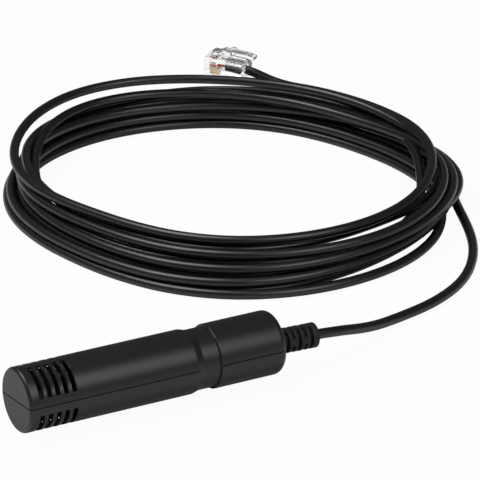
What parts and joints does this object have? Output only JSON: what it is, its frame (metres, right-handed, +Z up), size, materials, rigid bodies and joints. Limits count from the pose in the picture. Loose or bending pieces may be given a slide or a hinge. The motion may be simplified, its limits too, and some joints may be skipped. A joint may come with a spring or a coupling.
{
  "type": "rack temperature sensor",
  "caption": "Slim cylindrical temperature probe with vent slots at its tip, a ribbed strain relief, a coiled lead and a clear modular plug, for sensing air temperature in an equipment rack.",
  "frame": {"origin": "on the floor, under the middle of the probe with its strain relief", "axes": "+X along the probe from its tip to its cable, +Z up from the floor, the cable coil lies towards +Y"},
  "size_m": [0.202, 0.195, 0.0248],
  "materials": {
    "shell_plastic": "fine satin moulded texture",
    "boot_rubber": "soft moulded rubber",
    "cable_jacket": "smooth glossy vinyl jacket",
    "clear_plastic": "clear polished",
    "contact_gold": "gold plated",
    "board_black": "solder mask",
    "chip_black": "moulded",
    "capacitor_tan": "fired ceramic",
    "resistor_black": "fired ceramic",
    "wire_red": "smooth insulation",
    "wire_black": "smooth insulation",
    "wire_green": "smooth insulation",
    "wire_yellow": "smooth insulation"
  },
  "bodies": {
    "root": {"upper_shell": "shell_plastic", "lower_shell": "shell_plastic", "strain_relief": "boot_rubber", "circuit_board": "board_black", "temperature_chip": "chip_black", "interface_chip": "chip_black", "capacitor_1": "capacitor_tan", "capacitor_2": "capacitor_tan", "resistor_1": "resistor_black", "resistor_2": "resistor_black", "cable_lead": "cable_jacket", "cable_coil": "cable_jacket", "cable_tail": "cable_jacket", "plug_body": "clear_plastic", "board_wire_1": "wire_red", "plug_wire_1": "wire_red", "plug_contact_1": "contact_gold", "board_wire_2": "wire_black", "plug_wire_2": "wire_black", "plug_contact_2": "contact_gold", "board_wire_3": "wire_green", "plug_wire_3": "wire_green", "plug_contact_3": "contact_gold", "board_wire_4": "wire_yellow", "plug_wire_4": "wire_yellow", "plug_contact_4": "contact_gold"}
  },
  "joints": []
}
